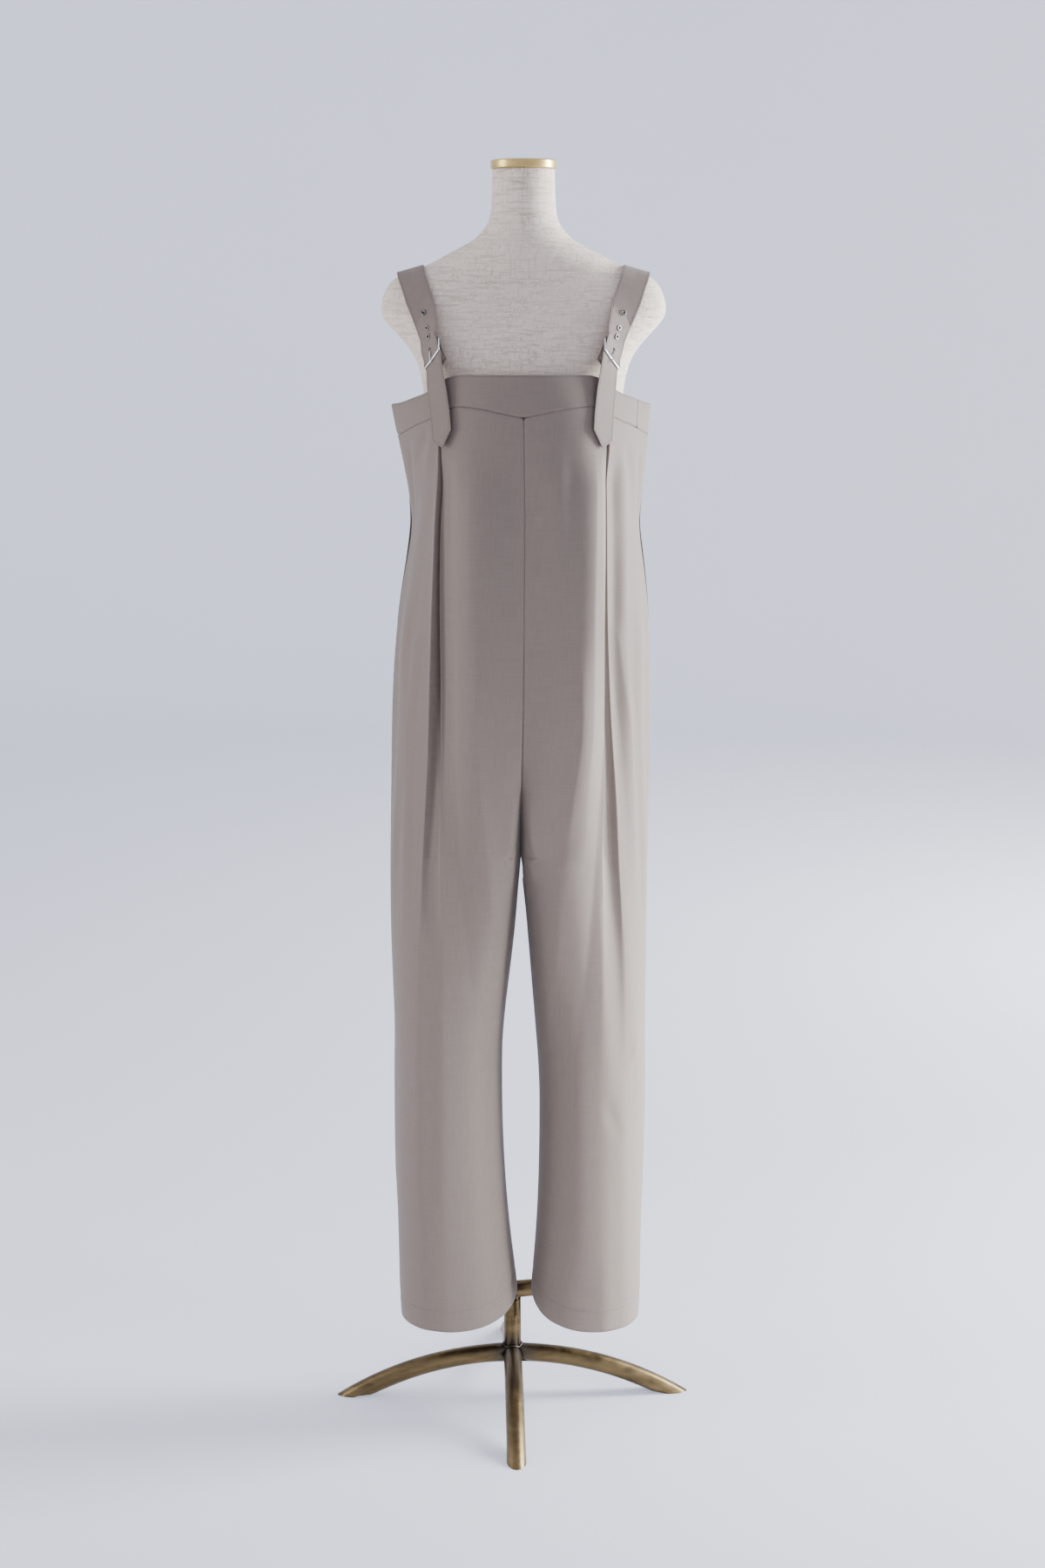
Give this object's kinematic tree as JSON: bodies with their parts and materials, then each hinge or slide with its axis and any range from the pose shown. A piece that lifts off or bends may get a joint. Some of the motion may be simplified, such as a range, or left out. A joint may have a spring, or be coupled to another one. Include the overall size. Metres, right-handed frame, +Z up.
{
  "type": "salopette trousers with shoulder straps on a dress form with stand",
  "caption": "High-waisted wide-leg salopette trousers with buckled shoulder straps, pleated front and side pockets, on a linen dress form and a four-footed brass stand.",
  "frame": {"origin": "on the floor, under the axis of the stand's post, at the middle of the four feet", "axes": "+Z up, the garment's front towards -Y, the wearer's left side towards +X"},
  "size_m": [0.4986, 0.4986, 1.7022],
  "materials": {
    "cloth": "smooth suiting weave with a faint sheen",
    "facing": "plain weave in shade",
    "linen": "slubby natural linen",
    "silver": "polished nickel",
    "brass": "aged bronze-brown patina",
    "cap_brass": "brushed satin"
  },
  "bodies": {
    "root": {"front_left": "cloth", "front_right": "cloth", "back_left": "cloth", "back_right": "cloth", "band_front": "cloth", "band_back": "cloth", "pocket_left": "facing", "pocket_right": "facing", "side_zip": "facing", "strap_left": "cloth", "strap_right": "cloth", "tab_left": "cloth", "tab_right": "cloth", "buckle_left": "silver", "buckle_right": "silver", "prong_left": "silver", "prong_right": "silver", "eyelet_left_1": "silver", "eyelet_left_2": "silver", "eyelet_left_3": "silver", "eyelet_right_1": "silver", "eyelet_right_2": "silver", "eyelet_right_3": "silver", "form_torso": "linen", "neck_cap": "cap_brass", "leg_right": "brass", "leg_back": "brass", "leg_left": "brass", "leg_front": "brass", "post": "brass", "crank_arm": "brass", "pole": "brass", "pole_flange": "brass"}
  },
  "joints": []
}
